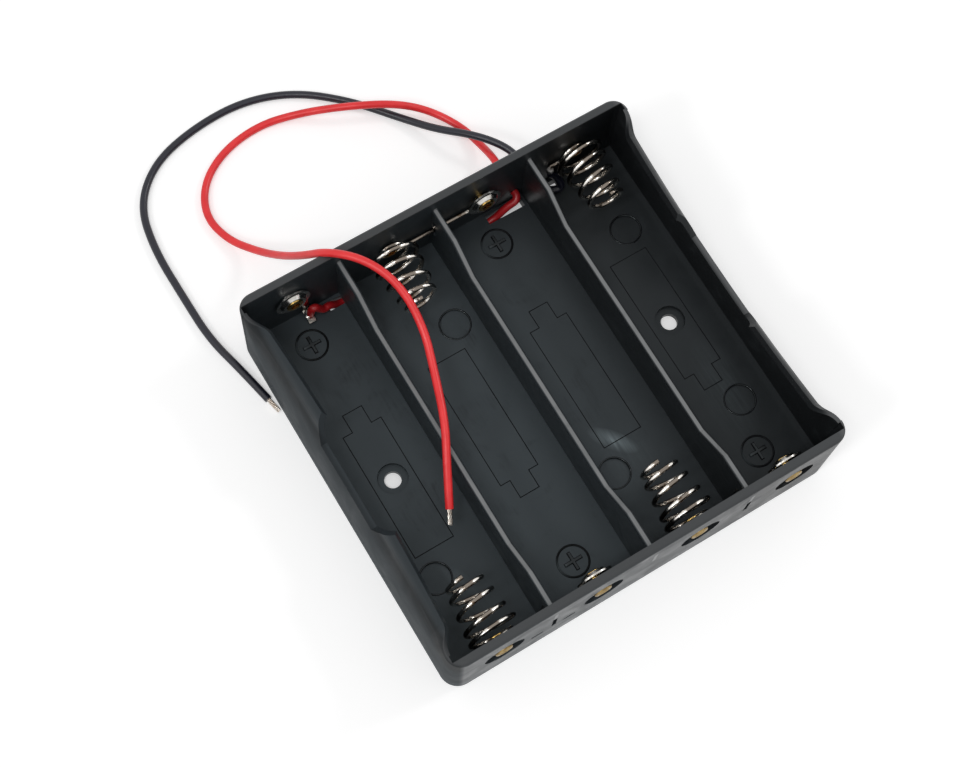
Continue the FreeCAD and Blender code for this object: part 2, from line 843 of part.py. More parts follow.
def tube(name, points, radius, extra=0.0):
    """Round tube along straight runs joined by tangent arcs; prints the arc radii."""
    edges = []
    here = points[0]
    radii = []
    for before, corner, after in zip(points, points[1:], points[2:]):
        arrive = corner - before
        leave = after - corner
        run = min(arrive.Length, leave.Length)
        half_turn = arrive.getAngle(leave) / 2
        trim = 0.45 * run
        bend = trim / math.tan(half_turn)
        arrive.normalize()
        leave.normalize()
        start = corner - arrive * trim
        end = corner + leave * trim
        bisector = leave - arrive
        bisector.normalize()
        centre = corner + bisector * (bend / math.cos(half_turn))
        top = centre - bisector * bend
        edges.append(Part.LineSegment(here, start).toShape())
        edges.append(Part.Arc(start, top, end).toShape())
        radii.append(round(bend, 1))
        here = end
    edges.append(Part.LineSegment(here, points[-1]).toShape())
    path = Part.Wire(edges)
    length = path.Length
    heading = points[1] - points[0]
    section = Part.Wire([Part.Circle(points[0], heading, radius).toShape()])
    shape = path.makePipeShell([section], True, True)
    ratio = shape.Volume / (math.pi * radius ** 2 * length)
    print(f"{name}: length {length:.1f}, radii {radii}, volume ratio {ratio:.4f}")
    item = doc.addObject("Part::Feature", name)
    item.Shape = shape
    return item


def lead_hole(side):
    """X of the wall hole of the red lead (-1) or the black lead (1)."""
    return divider_middle(3).value + SIZE["lead_hole_offset"].value * side


def red_inner_points():
    """Held run of the red lead: tab, floor slot, channel under the floor, floor slot, wall hole."""
    gap = SIZE["lead_clearance"]
    wall_y = (INNER_END - LEAD_RADIUS - gap).value
    y = channel_middle().value
    under = (LEAD_RADIUS + gap / 2).value
    above = (FLOOR + LEAD_RADIUS).value
    tab_x = (slot_middle(1) + SIZE["tab_offset"]).value
    down_x = (divider_middle(1) - DIVIDER_HALF).value
    up_x = (divider_middle(3) - DIVIDER_HALF * 2 - SIZE["red_exit_length"]).value
    hole_x = lead_hole(-1)
    hole_z = SIZE["lead_hole_height"].value
    return [
        Vector(tab_x + 0.3, wall_y - 0.5, above + 0.6),
        Vector(tab_x + 1.1, wall_y - 0.4, above + 3.0),
        Vector(tab_x + 2.8, y - 0.3, above + 0.25),
        Vector(down_x - 2.9, y - 0.1, above + 0.15),
        Vector(down_x - 0.9, y - 0.01, under),
        Vector(down_x + 6.0, y, under + 0.01),
        Vector(up_x - 6.0, y - 0.02, under),
        Vector(up_x + 1.4, y, under + 0.01),
        Vector(up_x + 4.4, y + 0.08, above + 0.6),
        Vector(hole_x, y - 0.2, hole_z),
        Vector(hole_x, HALF_LENGTH.value, hole_z),
    ]


def black_inner_points():
    """Held run of the black lead: from the last spring's tail down over the floor to its hole."""
    above = (FLOOR + LEAD_RADIUS).value
    wall = INNER_END.value
    tail_x = (slot_middle(4) - SIZE["terminal_tail"]).value
    drop_foot = (minus_drop_top() - SIZE["solder_radius"] * SIZE["solder_wetting"].sine() * 2).value
    hole_x = lead_hole(1)
    hole_z = SIZE["lead_hole_height"].value
    return [
        Vector(tail_x, wall - 1.1, drop_foot - 0.35),
        Vector(tail_x + 1.3, wall - 1.6, above + 2.6),
        Vector(tail_x + 1.9, wall - 3.3, above + 0.3),
        Vector(tail_x - 0.5, wall - 2.6, above + 0.2),
        Vector(hole_x, wall - 1.5, hole_z),
        Vector(hole_x, HALF_LENGTH.value, hole_z),
    ]


RED_ROUTE = [
    (17.8, 38.5, 5.0),
    (17.8, 43.0, 5.0),
    (18.1, 48.2, 2.4),
    (16.6, 54.6, 0.8),
    (12.2, 61.2, 1.5),
    (6.6, 65.6, 4.0),
    (-1.6, 70.2, 4.1),
    (-8.4, 73.4, 1.4),
    (-16.6, 74.9, 0.8),
    (-25.2, 73.6, 0.82),
    (-31.8, 69.4, 0.8),
    (-34.9, 63.2, 0.8),
    (-34.0, 56.8, 1.2),
    (-31.0, 51.4, 4.2),
    (-28.0, 46.6, 10.4),
    (-24.8, 43.0, 17.6),
    (-20.8, 39.0, 23.6),
    (-16.6, 32.6, 24.6),
    (-13.4, 25.2, 22.2),
    (-12.8, 17.0, 19.0),
    (-15.4, 8.8, 17.2),
    (-19.0, 1.0, 16.8),
    (-22.6, -5.6, 15.0),
    (-25.4, -11.2, 11.4),
]

BLACK_ROUTE = [
    (22.6, 38.5, 5.0),
    (22.6, 42.8, 5.0),
    (21.8, 47.4, 4.4),
    (18.2, 52.2, 4.2),
    (13.0, 57.2, 2.4),
    (8.0, 62.6, 0.8),
    (1.4, 70.4, 0.82),
    (-7.2, 77.6, 0.8),
    (-17.2, 81.4, 0.82),
    (-28.2, 80.6, 0.8),
    (-37.4, 77.4, 0.82),
    (-43.8, 70.6, 0.8),
    (-46.2, 61.2, 0.82),
    (-46.8, 50.4, 0.8),
    (-46.6, 40.6, 0.82),
    (-45.0, 32.0, 0.8),
    (-42.9, 25.6, 0.8),
]


def bare_tip(name, route):
    """Tinned strands that stand out of the insulation at a lead's free end."""
    end = Vector(*route[-1])
    heading = end - Vector(*route[-2])
    heading.normalize()
    tip = doc.addObject("Part::Cylinder", name)
    bind(tip, "Radius", SIZE["core_diameter"] / 2)
    bind(tip, "Height", SIZE["tip_length"])
    tip.Placement = FreeCAD.Placement(end, FreeCAD.Rotation(Vector(0, 0, 1), heading))
    return tip


def plus_solder(lead):
    """Dome of solder on the toe of the tab, round the end of the red lead."""
    top = SIZE["tab_foot_height"] + SIZE["tab_thickness"]
    x = slot_middle(1) + SIZE["tab_offset"]
    size = SIZE["solder_radius"]
    y = INNER_END - SIZE["tab_thickness"] - size
    ball = doc.addObject("Part::Sphere", "PlusSolderBall")
    bind(ball, "Radius", size)
    place(ball, x, y, top + size / 3, FreeCAD.Rotation(Vector(0, 0, 1), -90))
    below = block("PlusSolderBase", (x - size * 2, y - size * 2, ZERO), (x + size * 2, INNER_END, top))
    return remove("plus_solder", ball, [below, lead])


def minus_solder():
    """Turned drop of solder between the last spring's tail and the end of the black lead."""
    body = new_body("minus_solder")
    sketch = new_sketch(body, "minus_solder_section", "XY_Plane")
    radius = SIZE["solder_radius"]
    flat = radius * SIZE["solder_wetting"].cosine()
    half = radius * SIZE["solder_wetting"].sine()
    outline(sketch, [(ZERO, -half), (flat, -half), (flat, half), (ZERO, half)],
            {1: Bend(0, 0, radius, True)})
    revolve(body, sketch, "minus_solder_turn")
    return place(body, slot_middle(4) - SIZE["terminal_tail"],
                 INNER_END - radius - SIZE["wire_clearance"], minus_drop_top() - half,
                 FreeCAD.Rotation(Vector(1, 0, 0), 90))


def minus_drop_top():
    """Height of the top of the minus drop, just under the last spring's tail."""
    return tail_height() - WIRE_RADIUS - SIZE["wire_clearance"]


def build():
    """Make every sub-part and return them by node name."""
    parts = {"tray": tray()}
    for slot in SLOTS:
        parts[f"spring_{slot}"] = coil_spring(slot)
        parts[f"plus_cup_{slot}"] = plus_cup(slot)
        cup_top = cup_seat(slot) + SIZE["cup_rise"] + SIZE["cup_thickness"]
        name = f"plus_eyelet_{slot}"
        parts[name] = eyelet(name, slot, plus_end(slot), cup_top)
        name = f"spring_eyelet_{slot}"
        parts[name] = eyelet(name, slot, -plus_end(slot), wire_seat())
    parts["plus_tab"] = solder_tab()
    radius = LEAD_RADIUS.value
    parts["red_lead_inner"] = tube("red_lead_inner", red_inner_points(), radius)
    parts["black_lead_inner"] = tube("black_lead_inner", black_inner_points(), radius)
    parts["plus_solder"] = plus_solder(parts["red_lead_inner"])
    parts["minus_solder"] = minus_solder()
    parts["red_lead"] = tube("red_lead", [Vector(*point) for point in RED_ROUTE], radius)
    parts["black_lead"] = tube("black_lead", [Vector(*point) for point in BLACK_ROUTE], radius)
    parts["red_lead_tip"] = bare_tip("red_lead_tip", RED_ROUTE)
    parts["black_lead_tip"] = bare_tip("black_lead_tip", BLACK_ROUTE)
    return parts


def check(parts):
    """Stop if any object failed or any sub-part isn't one sound solid."""
    for item in doc.Objects:
        if "Invalid" in item.State or "Error" in item.State:
            raise RuntimeError(f"{item.Name} failed: {item.State}")
    for name, item in parts.items():
        shape = item.Shape
        if shape.isNull() or not shape.isValid():
            raise RuntimeError(f"{name} has no sound shape")
        print(f"{name}: {len(shape.Solids)} solid, {shape.Volume:.2f} mm3, {len(shape.Faces)} faces")


def main():
    """Build the holder and write one file for each sub-part."""
    parts = build()
    doc.recompute()
    check(parts)
    os.makedirs("parts", exist_ok=True)
    for name, item in parts.items():
        item.Label = name
        item.Shape.exportStep(f"parts/{name}.step")


main()
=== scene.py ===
"""Looks of an open four-slot cell holder with coil springs, riveted cups and two loose leads.

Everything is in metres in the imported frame: Y runs along the cells, X across the
slots and Z up from the underside.  Slot 1 is at low X.
"""
import logging
import math
from dataclasses import dataclass
from enum import Enum
from typing import ClassVar, Iterable, Sequence

import bmesh
import bpy
from mathutils import Matrix, Vector


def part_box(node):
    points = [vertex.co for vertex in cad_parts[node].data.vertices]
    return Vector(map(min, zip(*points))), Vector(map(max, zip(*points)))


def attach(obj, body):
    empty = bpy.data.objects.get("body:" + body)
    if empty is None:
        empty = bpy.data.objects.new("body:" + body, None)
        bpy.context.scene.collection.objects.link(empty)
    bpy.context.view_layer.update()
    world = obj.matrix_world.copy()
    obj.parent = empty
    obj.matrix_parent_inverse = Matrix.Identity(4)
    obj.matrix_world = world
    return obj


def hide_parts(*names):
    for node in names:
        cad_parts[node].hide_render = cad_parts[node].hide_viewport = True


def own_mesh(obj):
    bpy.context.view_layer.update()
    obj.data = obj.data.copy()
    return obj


LOG = logging.getLogger("cell_holder")
MM = 0.001
FULL_TURN = 2 * math.pi
SLOTS = (1, 2, 3, 4)
SLOT_PITCH = 0.0202
END_WALL = 0.0022
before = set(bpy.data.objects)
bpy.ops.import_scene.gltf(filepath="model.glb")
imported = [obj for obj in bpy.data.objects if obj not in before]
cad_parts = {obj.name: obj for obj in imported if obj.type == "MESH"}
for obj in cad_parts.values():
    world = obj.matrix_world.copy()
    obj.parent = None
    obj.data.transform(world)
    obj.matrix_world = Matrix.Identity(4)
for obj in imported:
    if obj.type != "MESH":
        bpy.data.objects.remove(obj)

Colour = tuple[float, float, float]
Point = tuple[float, float, float]
Span = tuple[float, float]


class Lead(Enum):
    """The two leads, by the colour of their insulation."""

    RED = "red"
    BLACK = "black"


class Wall(Enum):
    """The two end walls: the leads leave through the far one."""

    FAR = 1
    NEAR = -1


def mm(*values: float) -> Vector:
    """Point or step given in millimetres, in metres."""
    return Vector(values) * MM


def circle(radius: float, steps: int) -> list[Span]:
    """Points round a flat circle, as steps from its middle."""
    angles = [FULL_TURN * step / steps for step in range(steps)]
    return [(radius * math.cos(angle), radius * math.sin(angle)) for angle in angles]


def add_object(name: str, data: bpy.types.ID) -> bpy.types.Object:
    """Put a new object with the given data into the scene."""
    made = bpy.data.objects.new(name, data)
    bpy.context.scene.collection.objects.link(made)
    return made


class NodeGraph:
    """Short way to add nodes and links to one node tree."""

    def __init__(self, tree: bpy.types.NodeTree) -> None:
        """Start on an empty tree."""
        self.tree = tree
        tree.nodes.clear()

    def add(self, kind: str, settings: dict | None = None, **inputs: object) -> bpy.types.Node:
        """Add one node.

        Args:
            kind: Blender's name of the node type.
            settings: attributes of the node, set before its inputs.
            inputs: values or output sockets, by input name with _ for a space.

        Returns:
            The new node.
        """
        node = self.tree.nodes.new(kind)
        for name, value in (settings or {}).items():
            setattr(node, name, value)
        for name, value in inputs.items():
            self.feed(node, name.replace("_", " "), value)
        return node

    def feed(self, node: bpy.types.Node, name: str | int, value: object) -> None:
        """Set or link one input of a node.

        Args:
            node: the node that takes the value.
            name: the input's name or number.
            value: a plain value, or an output socket to link.
        """
        socket = node.inputs[name]
        if isinstance(value, bpy.types.NodeSocket):
            self.tree.links.new(value, socket)
        else:
            socket.default_value = value

    def math(self, operation: str, first: object, second: object = 0.0) -> bpy.types.NodeSocket:
        """Add a math node and return its output.

        Args:
            operation: Blender's name of the operation.
            first: first value or socket.
            second: second value or socket.

        Returns:
            The output socket.
        """
        node = self.add("ShaderNodeMath", {"operation": operation})
        self.feed(node, 0, first)
        self.feed(node, 1, second)
        return node.outputs[0]

    def product(self, first: object, *others: object) -> object:
        """Product of several sockets."""
        for other in others:
            first = self.math("MULTIPLY", first, other)
        return first

    def ranged(self, value: object, low: float, high: float,
               out_low: float = 0.0, out_high: float = 1.0) -> object:
        """Map a value from one range to another, clamped.

        Args:
            value: the socket to map.
            low: start of the input range.
            high: end of the input range.
            out_low: result at low.
            out_high: result at high.

        Returns:
            The output socket.
        """
        node = self.add("ShaderNodeMapRange", From_Min=low, From_Max=high, To_Min=out_low,
                        To_Max=out_high)
        self.feed(node, "Value", value)
        return node.outputs["Result"]

    def noise(self, place: object, size: float, detail: float = 2.0,
              distortion: float = 0.0) -> object:
        """Noise whose blotches are about the given size.

        Args:
            place: the coordinates.
            size: width of a blotch in metres.
            detail: octaves.
            distortion: warping of the noise.

        Returns:
            The factor socket, about 0.5 on average.
        """
        node = self.add("ShaderNodeTexNoise", Vector=place, Scale=1.0 / size, Detail=detail,
                        Distortion=distortion)
        return node.outputs["Fac"]

    def tint(self, factor: object, first: Sequence[float], second: Sequence[float]) -> object:
        """Blend of two colours.

        Args:
            factor: share of the second colour.
            first: colour at 0, red green blue or a socket.
            second: colour at 1, red green blue or a socket.

        Returns:
            The colour socket.
        """
        node = self.add("ShaderNodeMix", {"data_type": "RGBA"})
        self.feed(node, "Factor", factor)
        for number, colour in ((6, first), (7, second)):
            whole = colour if isinstance(colour, bpy.types.NodeSocket) else (*colour, 1.0)
            self.feed(node, number, whole)
        return node.outputs[2]

    def bumps(self, layers: Iterable[tuple[object, float]]) -> object:
        """Stack of bump layers.

        Args:
            layers: pairs of a height socket and its depth in metres.

        Returns:
            The normal socket.
        """
        normal = None
        for height, rightward_share in layers:
            node = self.add("ShaderNodeBump", Strength=1.0, Distance=rightward_share, Height=height)
            if normal is not None:
                self.feed(node, "Normal", normal)
            normal = node.outputs["Normal"]
        return normal


@dataclass(frozen=True)
class Patch:
    """Soft-edged round or long patch on a floor, where glare is painted on the moulding.

    The centre and the reach are in millimetres, the turn in degrees, and the rest in metres.
    """

    centre: Span
    reach: Span
    turn: float
    strength: float
    height: float = 0.002
    thickness: float = 0.006

    def mask(self, graph: NodeGraph, place: object) -> object:
        """Socket that is the patch's strength at its middle and 0 outside."""
        x, y = self.centre
        wide, long = self.reach
        moved = graph.add("ShaderNodeMapping", {"vector_type": "TEXTURE"})
        graph.feed(moved, "Vector", place)
        graph.feed(moved, "Location", (x * MM, y * MM, self.height))
        graph.feed(moved, "Rotation", (0.0, 0.0, math.radians(self.turn)))
        graph.feed(moved, "Scale", (wide * MM, long * MM, self.thickness))
        length = graph.add("ShaderNodeVectorMath", {"operation": "LENGTH"})
        graph.feed(length, 0, moved.outputs["Vector"])
        return graph.ranged(length.outputs["Value"], 1.0, 0.0, 0.0, self.strength)


@dataclass(frozen=True)
class MouldedPlastic:
    """Black moulded plastic with a fine grain, flow streaks and rubbed patches, and with painted
    light and shade: darker towards high X and on the side walls' upper parts, a painted floor tone,
    painted highlights on the top rims, the right wall's lips and the divider tops, and painted glare
    patches.

    The spans are where a mask rises from none to full: in metres on the surface, or in the
    values of a noise.
    """

    name: str
    patches: tuple[Patch, ...]
    colour: Colour = (0.0210, 0.0262, 0.0300)
    painted_shade: Colour = (0.0060, 0.0068, 0.0076)
    rubbed: Colour = (0.026, 0.030, 0.033)
    painted_floor_left: Colour = (0.046, 0.056, 0.062)
    painted_floor_right: Colour = (0.022, 0.025, 0.027)
    ridge_highlight: Colour = (0.205, 0.210, 0.212)
    rim_highlight: Colour = (0.056, 0.058, 0.060)
    lip_highlight: Colour = (0.095, 0.097, 0.100)
    glare: Colour = (0.24, 0.29, 0.31)
    specular_tint: Colour = (0.88, 0.96, 1.0)
    smoothest: float = 0.30
    roughest: float = 0.46
    side_matt: float = 0.30
    ior: float = 1.33
    grain: float = 0.00022
    grain_depth: float = 0.000012
    ripple: float = 0.009
    ripple_depth: float = 0.00006
    cloud: float = 0.006
    cloud_span: Span = (0.3, 0.7)
    scratch: float = 0.0006
    scratch_stretch: float = 0.08
    rub_clouds: Span = (0.54, 0.72)
    rub_scratches: Span = (0.48, 0.7)
    rub_least: float = 0.2
    painted_shade_span: Span = (-0.004, 0.026)
    painted_floor_span: Span = (0.0028, 0.0023)
    side_span: Span = (0.0384, 0.0392)
    ear_shade_span: Span = (0.0125, 0.0165)
    rim_highlight_span: Span = (0.0198, 0.0203)
    lip_span: Span = (0.006, 0.008)
    lip_facing: Span = (0.5, 0.85)
    ridge_low: float = 0.0126
    ridge_high: float = 0.0176
    ridge_soft: float = 0.0004
    ridge_half: float = 0.00042
    ridge_core: float = 0.6
    ridge_reach: Span = (1.5, 1.45)
    ridge_clouds: Span = (0.3, 0.6)
    ridge_highlight_range: Span = (0.75, 1.1)
    glare_scratches: Span = (0.35, 0.7)
    glare_least: float = 0.35

    def material(self) -> bpy.types.Material:
        """Build the material."""
        material, graph, place = start_material(self.name)
        fine = graph.noise(place, self.grain, detail=3.0)
        ripple = graph.noise(place, self.ripple, detail=1.0)
        lines = self.scratches(graph, place)
        clouds = graph.noise(place, self.cloud, detail=5.0, distortion=0.8)
        rub = graph.product(graph.ranged(clouds, *self.rub_clouds),
                            graph.ranged(lines, *self.rub_scratches, self.rub_least))
        split = graph.add("ShaderNodeSeparateXYZ", Vector=place)
        across, height = split.outputs["X"], split.outputs["Z"]
        side = graph.ranged(graph.math("ABSOLUTE", across), *self.side_span)
        ear_shade = graph.product(side, graph.ranged(height, *self.ear_shade_span))
        rightward_share = graph.ranged(across, *self.painted_shade_span)
        # Painted light and shade on the floors: a tone that changes from low X to high X.
        painted_floor = graph.tint(rightward_share, self.painted_floor_left, self.painted_floor_right)
        # Painted shade: the plastic darkens towards high X.
        base = graph.tint(rightward_share, self.colour, self.painted_shade)
        # Painted shade on the upper parts of both side walls.
        base = graph.tint(ear_shade, base, self.painted_shade)
        base = graph.tint(graph.ranged(height, *self.painted_floor_span), base, painted_floor)
        base = graph.tint(rub, base, self.rubbed)
        # Painted highlight along the top rims of the walls.
        base = graph.tint(graph.ranged(height, *self.rim_highlight_span), base, self.rim_highlight)
        # Painted highlight on the upward faces of the right side wall.
        base = graph.tint(self.lip_highlight_mask(graph, across, height), base, self.lip_highlight)
        # Painted highlight on the divider tops.
        base = graph.tint(self.ridge_highlight_mask(graph, across, height, clouds), base, self.ridge_highlight)
        # Painted glare in the patches.
        base = graph.tint(self.shine(graph, place, lines), base, self.glare)
        rough = graph.ranged(clouds, *self.cloud_span, self.smoothest, self.roughest)
        rough = graph.math("ADD", rough, graph.product(side, self.side_matt))
        normal = graph.bumps([(ripple, self.ripple_depth), (fine, self.grain_depth)])
        finish_material(graph, {"Base Color": base, "Roughness": rough, "Normal": normal,
                                "IOR": self.ior, "Specular Tint": (*self.specular_tint, 1.0)})
        return material

    def lip_highlight_mask(self, graph: NodeGraph, across: object, height: object) -> object:
        """Mask of the painted highlight on the upward faces of the right side wall.

        Args:
            graph: graph of the material.
            across: X of the surface.
            height: Z of the surface.

        Returns:
            The mask socket.
        """
        normal = graph.add("ShaderNodeTexCoord").outputs["Normal"]
        facing = graph.add("ShaderNodeSeparateXYZ", Vector=normal)
        upward = graph.ranged(facing.outputs["Z"], *self.lip_facing)
        above = graph.ranged(height, *self.lip_span)
        return graph.product(upward, above, graph.ranged(across, *self.side_span))

    def scratches(self, graph: NodeGraph, place: object) -> object:
        """Long thin streaks along the slots."""
        streak = graph.add("ShaderNodeMapping", Scale=(1.0, self.scratch_stretch, 1.0))
        graph.feed(streak, "Vector", place)
        return graph.noise(streak.outputs["Vector"], self.scratch, detail=4.0, distortion=0.4)

    def ridge_highlight_mask(self, graph: NodeGraph, across: object, height: object, clouds: object) -> object:
        """Mask of the painted highlight on the tops of the three dividers, broken up by the slow
        noise.

        Args:
            graph: graph of the material.
            across: X of the surface.
            height: Z of the surface.
            clouds: slow noise that breaks the mask up.

        Returns:
            The mask socket.
        """
        nearest = graph.math("PINGPONG", across, SLOT_PITCH / 2)
        inside = graph.ranged(graph.math("ABSOLUTE", across),
                              *(SLOT_PITCH * reach for reach in self.ridge_reach))
        thin = graph.ranged(nearest, self.ridge_half, self.ridge_half * self.ridge_core)
        above = graph.ranged(height, self.ridge_low, self.ridge_low + self.ridge_soft)
        below = graph.ranged(height, self.ridge_high, self.ridge_high - self.ridge_soft)
        band = graph.product(above, below)
        patchy = graph.ranged(clouds, *self.ridge_clouds, *self.ridge_highlight_range)
        return graph.product(thin, band, inside, patchy)

    def shine(self, graph: NodeGraph, place: object, lines: object) -> object:
        """Sum of the painted glare patches, broken up by the streaks."""
        total = 0.0
        for patch in self.patches:
            total = graph.math("ADD", total, patch.mask(graph, place))
        return graph.product(total, graph.ranged(lines, *self.glare_scratches, self.glare_least))


@dataclass(frozen=True)
class Metal:
    """Bare or plated metal with a clouded tint and fine working marks."""

    name: str
    bright: Colour
    dull: Colour
    smoothest: float
    roughest: float
    cloud: float = 0.0016
    tarnish_span: Span = (0.38, 0.68)
    rough_span: Span = (0.3, 0.7)
    mark: float = 0.00012
    mark_depth: float = 0.000004

    def material(self) -> bpy.types.Material:
        """Build the material."""
        material, graph, place = start_material(self.name)
        clouds = graph.noise(place, self.cloud, detail=4.0, distortion=0.6)
        marks = graph.noise(place, self.mark)
        share = self.dull_share(graph, place, clouds)
        base = graph.tint(share, self.bright, self.dull)
        rough = graph.ranged(clouds, *self.rough_span, self.smoothest, self.roughest)
        normal = graph.bumps([(marks, self.mark_depth)])
        finish_material(graph, {"Base Color": base, "Roughness": rough, "Normal": normal,
                                "Metallic": 1.0})
        return material

    def dull_share(self, graph: NodeGraph, place: object, clouds: object) -> object:
        """Share of the dull colour.

        Args:
            graph: graph of the material.
            place: the coordinates; not used here.
            clouds: slow noise.

        Returns:
            The share's socket.
        """
        return graph.ranged(clouds, *self.tarnish_span)


@dataclass(frozen=True)
class HighlightBandMetal(Metal):
    """Wire metal that is mostly its dull colour, painted shade, with two bands on each coil in its
    bright colour, painted highlights; the clouded tarnish still shows a little in the bands.
    """

    band_near: float = 0.0010
    band_far: float = 0.0034
    band_soft: float = 0.0005
    band_share: float = 0.25
    share_beside: float = 0.85

    def dull_share(self, graph: NodeGraph, place: object, clouds: object) -> object:
        """Share of the dull colour: low in the bands, where a highlight is painted, and high beside
        them, where shade is painted.

        Args:
            graph: graph of the material.
            place: the coordinates.
            clouds: slow noise.

        Returns:
            The share's socket.
        """
        share = super().dull_share(graph, place, clouds)
        split = graph.add("ShaderNodeSeparateXYZ", Vector=place)
        shifted = graph.math("ADD", split.outputs["X"], SLOT_PITCH / 2)
        side = graph.math("PINGPONG", shifted, SLOT_PITCH / 2)
        inner = graph.ranged(side, self.band_near, self.band_near + self.band_soft)
        outer = graph.ranged(side, self.band_far + self.band_soft, self.band_far)
        band = graph.product(inner, outer)
        beside = graph.ranged(band, 0.0, 1.0, self.share_beside, 0.0)
        band_scale = graph.ranged(band, 0.0, 1.0, 1.0, self.band_share)
        return graph.math("MAXIMUM", beside, graph.product(share, band_scale))


@dataclass(frozen=True)
class Insulation:
    """Soft plastic skin of a lead, slightly uneven from the extruder."""

    name: str
    colour: Colour
    shade: Colour
    roughness: float
    waver: float = 0.004
    waver_depth: float = 0.00004
    waver_span: Span = (0.35, 0.65)
    pit: float = 0.00035
    pit_depth: float = 0.000010
    pit_span: Span = (0.3, 0.7)
    smoother: float = 0.05
    rougher: float = 0.06
    ior: float = 1.5

    def material(self) -> bpy.types.Material:
        """Build the material."""
        material, graph, place = start_material(self.name)
        slow = graph.noise(place, self.waver)
        pits = graph.noise(place, self.pit, detail=3.0)
        base = graph.tint(graph.ranged(slow, *self.waver_span), self.colour, self.shade)
        rough = graph.ranged(pits, *self.pit_span, self.roughness - self.smoother,
                             self.roughness + self.rougher)
        normal = graph.bumps([(slow, self.waver_depth), (pits, self.pit_depth)])
        finish_material(graph, {"Base Color": base, "Roughness": rough, "Normal": normal,
                                "IOR": self.ior})
        return material


def start_material(name: str) -> tuple[bpy.types.Material, NodeGraph, object]:
    """Make an empty node material.

    Args:
        name: name of the material.

    Returns:
        The material, its graph and the object coordinates socket.
    """
    material = bpy.data.materials.new(name)
    material.use_nodes = True
    graph = NodeGraph(material.node_tree)
    place = graph.add("ShaderNodeTexCoord").outputs["Object"]
    return material, graph, place


def finish_material(graph: NodeGraph, sockets: dict[str, object]) -> None:
    """Add the shader and the output.

    Args:
        graph: graph of the material.
        sockets: value or socket for each input of the shader.
    """
    shader = graph.add("ShaderNodeBsdfPrincipled")
    for name, value in sockets.items():
        graph.feed(shader, name, value)
    graph.add("ShaderNodeOutputMaterial", Surface=shader.outputs["BSDF"])


# Patches of painted glare on the floors.
GLARE_PATCHES = (
    Patch((8.3, -14.4), (1.9, 5.2), 38.0, 1.0),
    Patch((9.5, -18.5), (5.0, 7.0), 0.0, 0.11),
    Patch((31.5, -17.0), (5.0, 12.0), -6.0, 0.13),
    Patch((-31.0, -27.5), (7.0, 7.0), 0.0, 0.11),
    Patch((-33.5, 19.5), (3.0, 6.0), 12.0, 0.10),
    Patch((-29.5, -22.0), (1.6, 4.5), 25.0, 0.22),
)

RING_GLINTS = (
    Patch((-32.7, 29.8), (1.9, 3.0), 20.0, 0.55),
    Patch((-12.5, -29.8), (1.7, 2.6), 20.0, 0.40),
    Patch((7.7, 29.8), (1.7, 2.6), 20.0, 0.40),
    Patch((27.9, -29.8), (1.7, 2.6), 20.0, 0.40),
)


class Palette:
    """Every finish of the holder, one material each."""

    def __init__(self) -> None:
        """Build the materials."""
        self.plastic = MouldedPlastic("moulded_black", GLARE_PATCHES).material()
        # Near-black lines for the cell outlines and sign rings: painted shade standing in for the
        # shade in engraved grooves; the sign rings also carry painted glints.
        self.groove_shade = MouldedPlastic("groove_shadow_lines", RING_GLINTS, colour=(0.0015, 0.0016, 0.0018),
                                     painted_shade=(0.001, 0.001, 0.001), rubbed=(0.003, 0.003, 0.003),
                                     painted_floor_left=(0.002, 0.002, 0.002),
                                     painted_floor_right=(0.004, 0.004, 0.005), ior=1.22).material()
        # Pad rims and plus signs: plastic darker than the floor, painted shade at the pads' edges,
        # with painted glints on the signs.
        self.rim = MouldedPlastic("pad_rims", RING_GLINTS, colour=(0.006, 0.007, 0.008),
                                  painted_floor_left=(0.006, 0.007, 0.008),
                                  painted_floor_right=(0.005, 0.006, 0.007), smoothest=0.12, roughest=0.2,
                                  grain_depth=0.000004, ior=1.40).material()
        # Spring wire: the dark dull colour is painted shade and the bright bands are painted
        # highlights.
        self.spring = HighlightBandMetal("plated_spring_wire", bright=(0.92, 0.88, 0.82),
                                  dull=(0.11, 0.078, 0.052), smoothest=0.10,
                                  roughest=0.22).material()
        self.nickel = Metal("nickelled_steel", bright=(0.72, 0.71, 0.68), dull=(0.40, 0.37, 0.33),
                            smoothest=0.12, roughest=0.24).material()
        # Darker copy of the rivet brass for the rivet curls: painted shade in the outside recesses.
        self.recess_shaded_brass = Metal("recess_shaded_brass", bright=(0.36, 0.26, 0.115),
                                dull=(0.20, 0.135, 0.055), smoothest=0.25,
                                roughest=0.42).material()
        self.brass = Metal("brass_rivet", bright=(0.66, 0.45, 0.15), dull=(0.34, 0.21, 0.07),
                           smoothest=0.14, roughest=0.28).material()
        self.solder = Metal("solder", bright=(0.78, 0.77, 0.75), dull=(0.50, 0.48, 0.46),
                            smoothest=0.20, roughest=0.42).material()
        self.tinned = Metal("tinned_strands", bright=(0.76, 0.72, 0.67), dull=(0.44, 0.36, 0.29),
                            smoothest=0.22, roughest=0.42).material()
        self.red = Insulation("red_insulation", colour=(0.90, 0.034, 0.038),
                              shade=(0.80, 0.022, 0.026), roughness=0.34).material()
        # Darker copy of the red insulation: painted shade for the inner run inside the tray.
        self.red_shaded = Insulation("red_insulation_shaded", colour=(0.46, 0.012, 0.016),
                                    shade=(0.36, 0.009, 0.013), roughness=0.36).material()
        self.black = Insulation("black_insulation", colour=(0.0045, 0.005, 0.012),
                                shade=(0.007, 0.0075, 0.017), roughness=0.34).material()

    def insulation(self, lead: Lead) -> bpy.types.Material:
        """Skin of one lead."""
        return self.red if lead is Lead.RED else self.black


